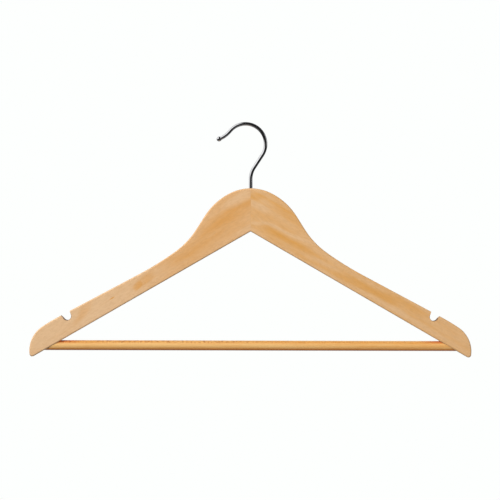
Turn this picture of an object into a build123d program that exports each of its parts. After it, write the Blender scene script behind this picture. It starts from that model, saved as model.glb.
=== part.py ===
from build123d import *
import math
import os

# Flat wooden clothes hanger with strap notches, a trouser bar and a swivelling wire hook.
# Millimetres, +Z up, X across the shoulders, Y through the board's thickness (-Y is the front).
# Everything is drawn in the neck frame, whose origin is where the swivel axis leaves the
# crown of the wood, and is then moved so that the row origin is the rail seat: the highest
# point on the inside of the crook, which rests on the rail.

# ---- Board -----------------------------------------------------------------------------
board_thickness = 12.0
edge_round = 1.5
crown_drop = 43.4            # crown to the sharp point of the V below it
underside_slope = 30.0       # degrees below horizontal, each arm
v_round = 0.8
tip_round = 2.7
# The upper edge as it leaves the crown: (radius, heading at its end) for an arc, or
# (None, length) for a straight. Headings are degrees below horizontal.
crown_arc = (46.0, 25.3)
shoulder_arc = (63.0, 57.7)
neck_straight = (None, 16.0)
hollow_arc = (83.0, 35.7)
sweep_arc = (321.0, 28.0)
top_straight = (None, 89.3)
easing_arc = (200.0, 34.0)
tip_arc = (28.7, 97.0)

# ---- Strap notch, one on each arm --------------------------------------------------------
notch_lip = 181.8            # swivel axis to the notch's inner lip, along X
notch_mouth = 10.2
notch_radius = 4.2
notch_centre_depth = 3.4     # square to the upper edge
notch_centre_along = 4.8     # from the inner lip, along the upper edge

# ---- Finger joint between the two arms ---------------------------------------------------
fingers = 2
finger_reach = 3.0           # each side of the centre line
finger_tip = 0.4             # blunt width of each finger's end

# ---- Trouser bar and the brads that pin it ------------------------------------------------
bar_diameter = 10.0
bar_drop = 158.4             # crown to the bar's axis
bar_length = 422.0
socket_gap = 0.05            # glue line round the bar
brad_shank = 1.2
brad_length = 9.0
brad_head = 2.4
brad_head_thickness = 0.5
brad_inset = 8.0             # from the bar's end
brad_rise = 1.0              # above the bar's axis

# ---- Hook and its captive nut -------------------------------------------------------------
wire = 3.6
shank_rise = 9.9             # straight wire above the crown
neck_bend = 20.0             # radii are to the wire's centre line
lean = 33.0                  # degrees from vertical
lean_run = 15.4
crook_radius = 20.3
crook_turn = 173.6
flick_radius = 27.0          # reverse curl towards the tip
flick_turn = 29.0
ball_diameter = 5.0
thread = 4.0
thread_length = 15.0
thread_chamfer = 0.4
shank_bore = 4.3
nut_seat_drop = 30.0         # crown to the nut's upper face
nut_flats = 7.0
nut_height = 3.2
nut_bore = 4.1
nut_chamfer = 0.35
nut_pocket = 7.6
thread_past_nut = 2.3

# ---- Derived places -----------------------------------------------------------------------
half_board = board_thickness / 2
lean_rad = math.radians(lean)
crook_start = Vector(
    neck_bend * (1 - math.cos(lean_rad)) + lean_run * math.sin(lean_rad),
    shank_rise + neck_bend * math.sin(lean_rad) + lean_run * math.cos(lean_rad),
)
crook_centre = crook_start + crook_radius * Vector(-math.cos(lean_rad), math.sin(lean_rad))
seat_height = crook_centre.Y + crook_radius - wire / 2
neck_to_row = Pos(-crook_centre.X, 0, -seat_height)


def on_front(x, z, y=0.0):
    """A place in the neck frame whose drawing plane stands upright, facing the front."""
    return Location(Plane(origin=(x, y, z), x_dir=(1, 0, 0), z_dir=(0, -1, 0)))


def trace(start, heading, steps):
    """Tangent edges from start. Headings are degrees below horizontal, going towards +X."""
    edges = []
    for radius, value in steps:
        direction = Vector(math.cos(math.radians(heading)), -math.sin(math.radians(heading)))
        if radius is None:
            edges.append(Line(start, start + direction * value))
        else:
            edges.append(JernArc(start, direction, radius, heading - value))
            heading = value
        start = edges[-1] @ 1
    return edges, heading


def board_outline():
    """The face seen from the front, drawn in XY with the crown at the origin."""
    steps = [crown_arc, shoulder_arc, neck_straight, hollow_arc,
             sweep_arc, top_straight, easing_arc, tip_arc]
    edges, heading = trace(Vector(0, 0), 0.0, steps)
    tip_start = edges[-1] @ 1
    fall = math.tan(math.radians(underside_slope))
    run = math.cos(math.radians(heading))
    drop = math.sin(math.radians(heading))
    # How far the tip's last heading runs on before it meets the underside.
    reach = (crown_drop + fall * tip_start.X + tip_start.Y) / (drop - fall * run)
    corner = tip_start + Vector(run, -drop) * reach
    apex = Vector(0, -crown_drop)
    edges += [Line(tip_start, corner), Line(corner, apex)]
    edges += [edge.mirror(Plane.YZ) for edge in edges]
    face = make_face(Wire(edges))
    corners = [v for v in face.vertices() if abs(abs(v.X) - corner.X) < 0.01 and v.Y < -crown_drop]
    face = fillet(corners, tip_round)
    point = face.vertices().sort_by(lambda v: v.distance_to(Vertex(*apex)))[0]
    return fillet(point, v_round)


def upper_edge_at(x):
    """Height of the arm's upper edge at x on its long straight, in the neck frame."""
    edges, _ = trace(Vector(0, 0), 0.0, [crown_arc, shoulder_arc, neck_straight,
                                         hollow_arc, sweep_arc])
    start = edges[-1] @ 1
    return start.Y - (x - start.X) * math.tan(math.radians(sweep_arc[1]))


def notch_cutter():
    """A round-bottomed slot square to the right arm's upper edge, flared to its mouth."""
    centre = Vector(notch_centre_along, -notch_centre_depth)
    above = 4.0
    inner_flare = notch_centre_along - notch_radius
    outer_flare = notch_mouth - notch_centre_along - notch_radius
    rise = above / notch_centre_depth
    floor = ThreePointArc(centre + Vector(-notch_radius, 0), centre + Vector(0, -notch_radius),
                          centre + Vector(notch_radius, 0))
    top_in = Vector(-inner_flare * rise, above)
    top_out = Vector(notch_mouth + outer_flare * rise, above)
    walls = Polyline(floor @ 1, top_out, top_in, floor @ 0)
    slot = extrude(make_face([floor, walls]), board_thickness, both=True)
    lip = on_front(notch_lip, upper_edge_at(notch_lip))
    return lip * Rot(0, 0, -sweep_arc[1]) * slot


def wooden_body():
    """Both arms as one glued board, with every hole and notch, before it is parted."""
    board = on_front(0, 0) * extrude(board_outline(), half_board, both=True)
    faces = board.faces().sort_by(Axis.Y)
    board = fillet(faces[0].edges() + faces[-1].edges(), edge_round)
    notch = notch_cutter()
    board -= [notch, notch.mirror(Plane.YZ)]
    bore = Cylinder(shank_bore / 2, nut_seat_drop + edge_round,
                    align=(Align.CENTER, Align.CENTER, Align.MIN))
    board -= Pos(0, 0, -nut_seat_drop) * bore
    pocket_depth = crown_drop - nut_seat_drop + nut_pocket
    pocket = Cylinder(nut_pocket / 2, pocket_depth,
                      align=(Align.CENTER, Align.CENTER, Align.MAX))
    board -= Pos(0, 0, -nut_seat_drop) * pocket
    board -= nut_blank()
    board -= bar_blank(socket_gap)
    return board - brads()


def left_side():
    """All space left of the finger joint, whose line is odd in Y so both arms are alike."""
    pitch = board_thickness / fingers
    line = [(0, -half_board)]
    for i in range(2 * fingers):
        y = -half_board + pitch * (0.25 + 0.5 * i)
        x = finger_reach if i % 2 == 0 else -finger_reach
        line += [(x, y - finger_tip / 2), (x, y + finger_tip / 2)]
    line += [(0, half_board)]
    far = notch_lip * 2
    beyond = [(0, board_thickness), (-far, board_thickness),
              (-far, -board_thickness), (0, -board_thickness)]
    region = make_face(Polyline(*line, *beyond, close=True))
    return extrude(region, far, both=True)


def bar_blank(gap=0.0):
    """The round bar along X, or the sockets' space when a gap is given."""
    return Pos(0, 0, -bar_drop) * Rot(0, 90, 0) * Cylinder(bar_diameter / 2 + gap, bar_length)


def brads():
    """One headed pin through the back of each arm into the bar's end."""
    head = Cylinder(brad_head / 2, brad_head_thickness,
                    align=(Align.CENTER, Align.CENTER, Align.MAX))
    point = brad_shank * 1.5
    shank = Cylinder(brad_shank / 2, brad_length - point,
                     align=(Align.CENTER, Align.CENTER, Align.MAX))
    tip = Pos(0, 0, -brad_length + point) * Rot(180, 0, 0) * Cone(
        brad_shank / 2, brad_shank / 10, point, align=(Align.CENTER, Align.CENTER, Align.MIN))
    brad = Rot(-90, 0, 0) * (head + shank + tip)
    x = bar_length / 2 - brad_inset
    return [Pos(side * x, half_board, -bar_drop + brad_rise) * brad for side in (-1, 1)]


def nut_blank():
    """The hexagon of the captive nut, flats to the front and back, without its bore."""
    hexagon = RegularPolygon(nut_flats / 2, 6, major_radius=False, rotation=0)
    return Pos(0, 0, -nut_seat_drop) * extrude(hexagon, -nut_height)


def captive_nut():
    """Hexagon nut pressed up its pocket. Its bore clears the hook's thread."""
    nut = nut_blank()
    nut -= Pos(0, 0, -nut_seat_drop) * Cylinder(nut_bore / 2, 3 * nut_height)
    rims = nut.edges().filter_by(GeomType.CIRCLE)
    return chamfer(rims, nut_chamfer)


def hook():
    """Wire bent from one length: threaded end, shank, lean, crook, flick and headed ball."""
    shank_foot = -(nut_seat_drop + nut_height + thread_past_nut)
    up = Line((0, shank_foot + thread_length), (0, shank_rise))
    bend = JernArc(up @ 1, up % 1, neck_bend, -lean)
    run = Line(bend @ 1, (bend @ 1) + (bend % 1) * lean_run)
    crook = JernArc(run @ 1, run % 1, crook_radius, crook_turn)
    flick = JernArc(crook @ 1, crook % 1, flick_radius, -flick_turn)
    path = on_front(0, 0) * Wire([up, bend, run, crook, flick])
    section = Plane(origin=path @ 0, z_dir=path % 0) * Circle(wire / 2)
    body = sweep(section, path=path)
    body += Pos(*(path @ 1)) * Sphere(ball_diameter / 2)
    threaded = Pos(0, 0, shank_foot) * Cylinder(
        thread / 2, thread_length, align=(Align.CENTER, Align.CENTER, Align.MIN))
    foot = threaded.edges().filter_by(GeomType.CIRCLE).sort_by(Axis.Z)[0]
    threaded = chamfer(foot, thread_chamfer)
    shoulder = threaded.edges().filter_by(GeomType.CIRCLE).sort_by(Axis.Z)[-1]
    return body + chamfer(shoulder, 0.9 * (thread - wire) / 2)


def save(shape, name):
    """Writes one node in the row frame."""
    os.makedirs("parts", exist_ok=True)
    placed = [neck_to_row * solid for solid in shape.solids()]
    export_step(placed[0] if len(placed) == 1 else Compound(children=placed),
                f"parts/{name}.step")


board = wooden_body()
left = left_side()
pins = brads()

save(board & left, "left_arm")
save(board - left, "right_arm")
save(bar_blank() - pins, "trouser_bar")
save(Compound(children=pins), "bar_brads")
save(captive_nut(), "hook_nut")
save(hook(), "hook")

overall = 2 * board.bounding_box().max.X
print(f"width {overall:.1f}, swivel axis x {-crook_centre.X:.3f}, crown z {-seat_height:.3f}")
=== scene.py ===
import math
import bpy
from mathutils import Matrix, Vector


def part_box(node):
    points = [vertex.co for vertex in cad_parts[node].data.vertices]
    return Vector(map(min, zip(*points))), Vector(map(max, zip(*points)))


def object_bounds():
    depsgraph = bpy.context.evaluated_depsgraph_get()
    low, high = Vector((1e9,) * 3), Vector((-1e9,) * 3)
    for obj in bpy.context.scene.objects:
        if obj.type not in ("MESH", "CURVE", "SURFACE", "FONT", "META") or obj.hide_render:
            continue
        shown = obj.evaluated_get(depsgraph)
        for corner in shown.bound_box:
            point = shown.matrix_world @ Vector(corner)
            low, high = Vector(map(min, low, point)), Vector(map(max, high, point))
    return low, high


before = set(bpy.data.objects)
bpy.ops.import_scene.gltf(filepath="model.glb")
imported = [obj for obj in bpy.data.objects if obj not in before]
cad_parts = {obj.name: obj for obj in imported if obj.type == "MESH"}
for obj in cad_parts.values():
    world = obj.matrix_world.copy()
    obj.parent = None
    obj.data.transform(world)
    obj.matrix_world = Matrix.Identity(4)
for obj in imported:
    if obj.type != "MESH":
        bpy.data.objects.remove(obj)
cad_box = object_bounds()

MM = 0.001
low, high = cad_box
middle = (low + high) / 2
nut_low, nut_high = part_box("hook_nut")
axis_x = (nut_low.x + nut_high.x) / 2      # the swivel axis and the seam between the arms
crown_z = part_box("left_arm")[1].z
bar_low, bar_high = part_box("trouser_bar")

GRAIN_LEAN = 29.0          # degrees; the boards' grain follows the arms
FINGER_PITCH = 6.0         # mm, the finger joint between the arms
FINGER_REACH = 3.0
NOTCH = (223.8, -23.4)     # mm, the notch's centre along and across the grain from the crown
NOTCH_REACH = 4.45         # mm, just past the notch's wall
BOARD_RING = 6.5           # mm between growth rings
BAR_RING = 3.3

FLOOR_RADIUS = 1.2         # metres from here on
FLOOR_DROP = 0.33          # below the hanger's lowest point
FLOOR_SIDES = 96
CAMERA_DISTANCE = 2.0
VIEW_WIDTH = 0.5025        # across the frame, at the hanger's front face
CAMERA_ROLL = -0.14        # degrees
CAMERA_SHIFT = (-0.0006, -0.0107)


# ---- Node helpers ------------------------------------------------------------------------
class Nodes:
    """Builds a material's node tree. Inputs are sockets, numbers or tuples."""

    def __init__(self, name):
        self.material = bpy.data.materials.new(name)
        self.material.use_nodes = True
        self.tree = self.material.node_tree
        self.tree.nodes.clear()
        self.output = self.tree.nodes.new("ShaderNodeOutputMaterial")
        self.shader = self.tree.nodes.new("ShaderNodeBsdfPrincipled")
        self.link(self.shader.outputs[0], self.output.inputs["Surface"])

    def link(self, source, socket):
        if isinstance(source, bpy.types.NodeSocket):
            self.tree.links.new(source, socket)
        else:
            socket.default_value = source

    def position(self):
        return self.tree.nodes.new("ShaderNodeTexCoord").outputs["Object"]

    def normal(self):
        return self.tree.nodes.new("ShaderNodeTexCoord").outputs["Normal"]

    def math(self, operation, a, b=0.0, c=0.0):
        node = self.tree.nodes.new("ShaderNodeMath")
        node.operation = operation
        for value, socket in zip((a, b, c), node.inputs):
            self.link(value, socket)
        return node.outputs[0]

    def vector(self, operation, a, b=(0, 0, 0)):
        node = self.tree.nodes.new("ShaderNodeVectorMath")
        node.operation = operation
        self.link(a, node.inputs[0])
        self.link(b, node.inputs[1])
        return node.outputs["Value"] if operation in ("DOT_PRODUCT", "LENGTH") else node.outputs[0]

    def rotate_y(self, vector, degrees):
        node = self.tree.nodes.new("ShaderNodeVectorRotate")
        node.rotation_type = "Y_AXIS"
        self.link(vector, node.inputs["Vector"])
        node.inputs["Angle"].default_value = math.radians(degrees)
        return node.outputs[0]

    def split(self, vector):
        node = self.tree.nodes.new("ShaderNodeSeparateXYZ")
        self.link(vector, node.inputs[0])
        return node.outputs[:]

    def noise(self, vector, size, detail=2.0, roughness=0.5, seed=(0, 0, 0)):
        """Noise whose features are about size mm along each axis. 0.5 on average."""
        scaled = self.vector("MULTIPLY", vector, tuple(1.0 / s for s in size))
        node = self.tree.nodes.new("ShaderNodeTexNoise")
        node.inputs["Scale"].default_value = 1.0
        node.inputs["Detail"].default_value = detail
        node.inputs["Roughness"].default_value = roughness
        self.link(self.vector("ADD", scaled, seed), node.inputs["Vector"])
        return node

    def ramp(self, value, start, end, low=0.0, high=1.0):
        """Smooth step from low at start to high at end."""
        node = self.tree.nodes.new("ShaderNodeMapRange")
        node.interpolation_type = "SMOOTHSTEP"
        self.link(value, node.inputs["Value"])
        for key, number in zip(("From Min", "From Max", "To Min", "To Max"), (start, end, low, high)):
            node.inputs[key].default_value = number
        return node.outputs[0]

    def blend(self, amount, a, b):
        node = self.tree.nodes.new("ShaderNodeMix")
        node.data_type = "RGBA"
        self.link(amount, node.inputs["Factor"])
        for value, socket in ((a, node.inputs[6]), (b, node.inputs[7])):
            self.link(value if isinstance(value, bpy.types.NodeSocket) else (*value, 1.0), socket)
        return node.outputs[2]

    def bump(self, height, millimetres, strength):
        node = self.tree.nodes.new("ShaderNodeBump")
        node.inputs["Distance"].default_value = millimetres * MM
        node.inputs["Strength"].default_value = strength
        self.link(height, node.inputs["Height"])
        self.link(node.outputs[0], self.shader.inputs["Normal"])


def rgb(red, green, blue):
    """sRGB 0-255 to linear."""
    return tuple(((c / 255 + 0.055) / 1.055) ** 2.4 for c in (red, green, blue))


# ---- Wood --------------------------------------------------------------------------------
def fibres(n, place, seed):
    """Fine pores and fibres running along X of place. About 0.5 on average."""
    fine = n.noise(place, (9.0, 0.55, 0.55), 4.0, 0.65, seed).outputs[0]
    long = n.noise(place, (70.0, 2.4, 2.4), 3.0, 0.6, seed).outputs[0]
    return n.math("ADD", n.math("MULTIPLY", fine, 0.6), n.math("MULTIPLY", long, 0.4))


def lacquer(n, colour, fibre, roughness):
    """Satin lacquer over the wood, with the fibres just telegraphing through it."""
    n.link(colour, n.shader.inputs["Base Color"])
    n.link(n.ramp(fibre, 0.3, 0.7, roughness + 0.07, roughness - 0.05), n.shader.inputs["Roughness"])
    n.shader.inputs["Coat Weight"].default_value = 0.22
    n.shader.inputs["Coat Roughness"].default_value = 0.28
    n.shader.inputs["Specular IOR Level"].default_value = 0.4
    n.bump(fibre, 0.03, 0.5)


def patch(n, place, centre, half, tilt=0.0, soft=0.6):
    """1 inside an ellipse on the face, in grain millimetres, fading to 0 at its rim."""
    moved = n.vector("SUBTRACT", place, (centre[0], 0, centre[1]))
    turned = n.rotate_y(moved, tilt)
    scaled = n.vector("MULTIPLY", turned, (1 / half[0], 0, 1 / half[1]))
    return n.ramp(n.vector("LENGTH", scaled), 1 + soft, 1 - soft)


def board_wood(name, side, pith, seed, rings, deep, dark, light):
    """One arm. The grain frame has X outwards along the arm, Z up across it, from the crown.
    deep is the colour of its darkest wood. dark and light are the figure, except that a broad light
    patch over an arm's outer end is painted light. Each gives a patch's centre, half sizes, tilt and
    amount, and how soft its rim is if not the usual."""
    n = Nodes(name)
    at_crown = n.vector("SUBTRACT", n.position(), (axis_x, 0, crown_z))
    flat = n.vector("MULTIPLY", at_crown, (side / MM, 1 / MM, 1 / MM))
    place = n.rotate_y(flat, -GRAIN_LEAN)
    drift = n.noise(place, (70, 30, 22), 3.0, 0.55, seed).outputs["Color"]
    drift = n.vector("MULTIPLY", n.vector("SUBTRACT", drift, (0.5, 0.5, 0.5)), (24, 10, 9))
    warped = n.vector("ADD", place, drift)
    u, w, v = n.split(warped)

    # Growth rings: shells about a pith that runs nearly along the arm.
    rise = n.math("ADD", v, n.math("MULTIPLY", u, pith[2]))
    across = n.math("SUBTRACT", rise, pith[0])
    through = n.math("SUBTRACT", w, pith[1])
    radius = n.math("SQRT", n.math("ADD", n.math("MULTIPLY", across, across),
                                   n.math("MULTIPLY", through, through)))
    phase = n.math("SINE", n.math("MULTIPLY", radius, math.tau / BOARD_RING))
    ring = n.math("POWER", n.math("MULTIPLY_ADD", phase, 0.5, 0.5), 2.5)

    fibre = fibres(n, place, seed)
    cloud = n.noise(place, (46, 24, 17), 4.0, 0.6, tuple(s + 7 for s in seed)).outputs[0]
    tone = n.math("MULTIPLY_ADD", n.math("SUBTRACT", cloud, 0.5), 0.6, 0.07)
    tone = n.math("MULTIPLY_ADD", ring, rings, tone)
    tone = n.math("MULTIPLY_ADD", n.math("SUBTRACT", fibre, 0.5), 0.42, tone)
    for patches, sign in ((dark, 1), (light, -1)):
        for centre, half, tilt, amount, *soft in patches:
            mask = patch(n, warped, centre, half, tilt, *soft)
            tone = n.math("MULTIPLY_ADD", mask, sign * amount, tone)
    colour = n.blend(n.ramp(tone, -0.45, 0.85), rgb(236, 197, 153), rgb(*deep))

    # Short pale-brown flecks along the grain.
    fleck = n.noise(place, (2.6, 0.5, 0.42), 1.0, 0.4, tuple(s + 3 for s in seed)).outputs[0]
    colour = n.blend(n.ramp(fleck, 0.66, 0.78, 0.0, 0.35), colour, rgb(176, 112, 58))

    # The glue line follows the finger joint.
    x, y, _ = n.split(flat)
    y = n.math("MULTIPLY", y, side)
    wave = n.math("PINGPONG", n.math("ADD", y, 1.25 * FINGER_PITCH), FINGER_PITCH / 2)
    slope = 4 * FINGER_REACH / FINGER_PITCH
    offset = n.math("SUBTRACT", x, n.math("MULTIPLY_ADD", wave, slope, -FINGER_REACH))
    glue = n.ramp(n.math("ABSOLUTE", offset), 0.04, 0.2, 0.16, 0.0)
    colour = n.blend(glue, colour, rgb(150, 92, 44))
    grit = n.noise(place, (5, 1.6, 1.4), 3.0, 0.6, tuple(s + 5 for s in seed)).outputs[0]
    colour = n.blend(n.ramp(grit, 0.35, 0.7, 0.0, 0.16), colour, rgb(176, 130, 84))

    # End grain soaks up more lacquer. The notch gets painted shade: a dark brown patch over its
    # recess.
    normal = n.rotate_y(n.vector("MULTIPLY", n.normal(), (side, 1, 1)), -GRAIN_LEAN)
    end = n.ramp(n.math("ABSOLUTE", n.split(normal)[0]), 0.3, 0.95, 0.0, 0.35)
    colour = n.blend(end, colour, rgb(172, 108, 52))
    inside = patch(n, place, NOTCH, (NOTCH_REACH, NOTCH_REACH), soft=0.03)
    colour = n.blend(n.math("MULTIPLY", inside, 0.85), colour, rgb(96, 54, 28))
    lacquer(n, colour, fibre, 0.42)
    return n.material


def bar_wood():
    """The turned bar: oranger, straight grain along X, with a few ticks in the lacquer."""
    n = Nodes("bar_wood")
    centre = Vector((axis_x, 0, (bar_low.z + bar_high.z) / 2))
    place = n.vector("MULTIPLY", n.vector("SUBTRACT", n.position(), centre), (1 / MM,) * 3)
    fibre = fibres(n, place, (11, 5, 2))
    streak = n.noise(place, (120, 3.2, 3.2), 4.0, 0.6, (4, 9, 1)).outputs[0]
    tone = n.math("ADD", n.math("MULTIPLY", n.math("SUBTRACT", streak, 0.5), 0.8),
                  n.math("MULTIPLY", n.math("SUBTRACT", fibre, 0.5), 0.9))
    # Growth rings show as bands along the bar.
    sway = n.noise(place, (90, 60, 60), 2.0, 0.5, (3, 3, 8)).outputs[0]
    shell = n.vector("LENGTH", n.vector("MULTIPLY", n.vector("SUBTRACT", place, (0, 20, 2.0)),
                                        (0, 1, 1)))
    turn = n.math("MULTIPLY_ADD", sway, 1.6, n.math("MULTIPLY", shell, math.tau / BAR_RING))
    tone = n.math("MULTIPLY_ADD", n.math("SINE", turn), 0.13, tone)
    colour = n.blend(n.ramp(tone, -0.45, 0.5), rgb(247, 202, 134), rgb(224, 143, 50))
    # Painted shade: underneath, the colour is blended to a deeper, darker orange where the bar is
    # shaded. The crest is ticked, more so to the left, and carries painted shade, red-brown, by the
    # arms.
    x, _, z = n.split(place)
    colour = n.blend(n.ramp(z, -1.5, -4.4, 0.0, 0.6), colour, rgb(250, 134, 30))
    crest = n.ramp(z, 2.2, 3.8)
    tick = n.noise(place, (1.3, 2.4, 2.4), 2.0, 0.5, (8, 2, 6)).outputs[0]
    worn = n.math("MULTIPLY", crest, n.ramp(x, 60, -60, 0.3, 1.0))
    colour = n.blend(n.math("MULTIPLY", n.ramp(tick, 0.5, 0.62, 0.0, 0.8), worn), colour,
                     rgb(168, 80, 34))
    # Painted shade: the crest is blended red-brown near each end, where the bar meets the arms.
    painted_shade_by_arms = n.math("MULTIPLY", crest, n.ramp(n.math("ABSOLUTE", x), 165, 195, 0.0, 0.6))
    colour = n.blend(painted_shade_by_arms, colour, rgb(196, 70, 40))
    lacquer(n, colour, fibre, 0.36)
    return n.material


# ---- Metal -------------------------------------------------------------------------------
def metal(name, colour, roughness, grain):
    """Plated steel: fine drawing marks and faint handling marks in the gloss."""
    n = Nodes(name)
    place = n.vector("MULTIPLY", n.position(), (1 / MM,) * 3)
    marks = n.noise(place, (grain, grain, grain * 6), 3.0, 0.6).outputs[0]
    cloud = n.noise(place, (7, 7, 9), 3.0, 0.55, (5, 1, 3)).outputs[0]
    dull = tuple(c * 0.82 for c in colour)
    n.link(n.blend(n.ramp(cloud, 0.35, 0.65), colour, dull), n.shader.inputs["Base Color"])
    n.link(n.ramp(n.math("ADD", n.math("MULTIPLY", marks, 0.5), n.math("MULTIPLY", cloud, 0.5)),
                  0.35, 0.65, roughness * 0.7, roughness * 1.4), n.shader.inputs["Roughness"])
    n.shader.inputs["Metallic"].default_value = 1.0
    n.bump(marks, 0.004, 0.4)
    return n.material


def give(node, material):
    """Puts a material on every slot of a CAD node."""
    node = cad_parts[node]
    for slot in node.material_slots:
        slot.material = material
    if not node.material_slots:
        node.data.materials.append(material)


left_wood = board_wood(
    "left_wood", -1, (-70.0, 38.0, 0.10), (1, 4, 2), 0.05, (224, 155, 64),
    dark=[((27, -13), (32, 5.5), -3, 0.27), ((62, -24), (50, 9), 0, 0.12),
          ((140, -30), (11, 4.5), -8, 0.38), ((206, -28), (12, 3.5), -21, 0.38),
          ((147, -31.5), (5, 3.6), -12, 0.24, 0.25), ((174, -30), (3.0, 0.5), 0, 0.9)],
    # The broad light patch at (222, -28) is painted light: the left arm's outer end drawn paler, as
    # if lit more from the left.
    light=[((14, -4), (18, 4.5), 0, 0.17), ((20, -35), (40, 3), 0, 0.12),
           ((222, -28), (90, 24), 0, 0.36)])
right_wood = board_wood(
    "right_wood", 1, (-55.0, -30.0, 0.05), (6, 2, 9), 0.09, (225, 159, 66),
    dark=[((51, -5), (17, 5), -8, 0.22), ((11, -4), (10, 3.5), 20, 0.20),
          ((65, -27), (44, 3.4), 2, 0.24), ((150, -31), (58, 4), 4.5, 0.27)],
    light=[((18, -12), (13, 3.5), 0, 0.20), ((52, -20.5), (28, 1.7), 5, 0.24),
           ((23, -27), (9, 1.7), 23, 0.22), ((150, -37), (70, 2.5), 0, 0.14),
           ((225, -28), (50, 20), 0, 0.05)])
give("left_arm", left_wood)
give("right_arm", right_wood)
give("trouser_bar", bar_wood())
give("hook", metal("hook_chrome", (0.74, 0.74, 0.76), 0.08, 0.5))
give("hook_nut", metal("nut_steel", (0.55, 0.54, 0.5), 0.3, 0.3))
give("bar_brads", metal("brad_steel", (0.56, 0.55, 0.52), 0.28, 0.25))


# ---- Studio ------------------------------------------------------------------------------
def make_floor():
    """Plain pale disc under the hanger."""
    mesh = bpy.data.meshes.new("floor")
    turns = [math.tau * i / FLOOR_SIDES for i in range(FLOOR_SIDES)]
    rim = [(middle.x + FLOOR_RADIUS * math.cos(t), FLOOR_RADIUS * math.sin(t), low.z - FLOOR_DROP)
           for t in turns]
    mesh.from_pydata(rim, [], [list(range(FLOOR_SIDES))])
    floor = bpy.data.objects.new("floor", mesh)
    bpy.context.collection.objects.link(floor)
    n = Nodes("floor_paint")
    mottle = n.noise(n.vector("MULTIPLY", n.position(), (1 / MM,) * 3), (400, 400, 400)).outputs[0]
    n.link(n.blend(mottle, (0.86, 0.86, 0.86), (0.9, 0.9, 0.9)), n.shader.inputs["Base Color"])
    n.shader.inputs["Roughness"].default_value = 0.8
    n.shader.inputs["Emission Color"].default_value = (1, 1, 1, 1)
    n.shader.inputs["Emission Strength"].default_value = 0.3
    mesh.materials.append(n.material)
    floor.visible_diffuse = False      # the floor lights nothing and isn't reflected
    floor.visible_glossy = False


def softbox(name, place, size, watts):
    """A square area light aimed at the middle of the hanger. It isn't seen in reflections."""
    data = bpy.data.lights.new(name, "AREA")
    data.shape = "SQUARE"
    data.size = size
    data.energy = watts
    light = bpy.data.objects.new(name, data)
    light.location = middle + Vector(place)
    light.rotation_euler = (middle - light.location).to_track_quat("-Z", "Y").to_euler()
    light.visible_glossy = False
    bpy.context.collection.objects.link(light)


def make_world():
    """White behind the hanger. Reflections and fill see a dark room with bright cards."""
    world = bpy.data.worlds.new("studio")
    world.use_nodes = True
    bpy.context.scene.world = world
    tree = world.node_tree
    tree.nodes.clear()
    new, link = tree.nodes.new, tree.links.new
    place = new("ShaderNodeTexCoord").outputs["Generated"]

    def part(socket, start, end, amount):
        node = new("ShaderNodeMapRange")
        node.interpolation_type = "SMOOTHSTEP"
        link(socket, node.inputs["Value"])
        for key, number in zip(("From Min", "From Max", "To Min", "To Max"),
                               (start, end, 0.0, amount)):
            node.inputs[key].default_value = number
        return node.outputs[0]

    def add(a, b):
        node = new("ShaderNodeMath")
        for value, socket in ((a, node.inputs[0]), (b, node.inputs[1])):
            if isinstance(value, bpy.types.NodeSocket):
                link(value, socket)
            else:
                socket.default_value = value
        return node.outputs[0]

    def card(direction, start, end, amount):
        node = new("ShaderNodeVectorMath")
        node.operation = "DOT_PRODUCT"
        link(place, node.inputs[0])
        node.inputs[1].default_value = Vector(direction).normalized()
        return part(node.outputs["Value"], start, end, amount)

    wall = card((0, 1, 0), 0.55, 0.9, 0.45)
    left = card((-0.8, 0, 0.6), 0.61, 0.8, 1.15)
    upper = card((-0.57, -0.6, 0.57), 0.85, 0.92, 0.8)
    right = card((0.96, 0, 0.24), 0.93, 0.97, 1.0)
    below = card((0, 0, -1), 0.45, 0.8, 0.2)
    room = new("ShaderNodeBackground")
    link(add(add(add(wall, left), add(right, below)), add(upper, 0.03)), room.inputs["Strength"])
    seen = new("ShaderNodeBackground")
    seen.inputs["Color"].default_value = (0.985, 1.0, 0.99, 1)
    path = new("ShaderNodeLightPath")
    mix = new("ShaderNodeMixShader")
    link(path.outputs["Is Camera Ray"], mix.inputs[0])
    link(room.outputs[0], mix.inputs[1])
    link(seen.outputs[0], mix.inputs[2])
    out = new("ShaderNodeOutputWorld")
    link(mix.outputs[0], out.inputs["Surface"])


def make_camera():
    """Square on to the front, a little below the hanger's middle."""
    data = bpy.data.cameras.new("camera")
    data.sensor_width = 36.0
    data.lens = data.sensor_width * (CAMERA_DISTANCE + low.y) / VIEW_WIDTH
    camera = bpy.data.objects.new("camera", data)
    camera.location = (middle.x + CAMERA_SHIFT[0], -CAMERA_DISTANCE, middle.z + CAMERA_SHIFT[1])
    camera.rotation_euler = (math.pi / 2, math.radians(CAMERA_ROLL), 0)
    bpy.context.collection.objects.link(camera)
    bpy.context.scene.camera = camera


make_floor()
make_world()
make_camera()
softbox("key", (-1.05, -1.5, 0.95), 0.9, 29.5)
softbox("fill", (1.2, -1.7, -0.3), 1.2, 16.0)
softbox("back_right", (1.2, 1.5, 0.9), 0.9, 20.0)
softbox("back_left", (-1.3, 1.6, 0.5), 1.2, 9.0)
bpy.context.scene.view_settings.view_transform = "Standard"
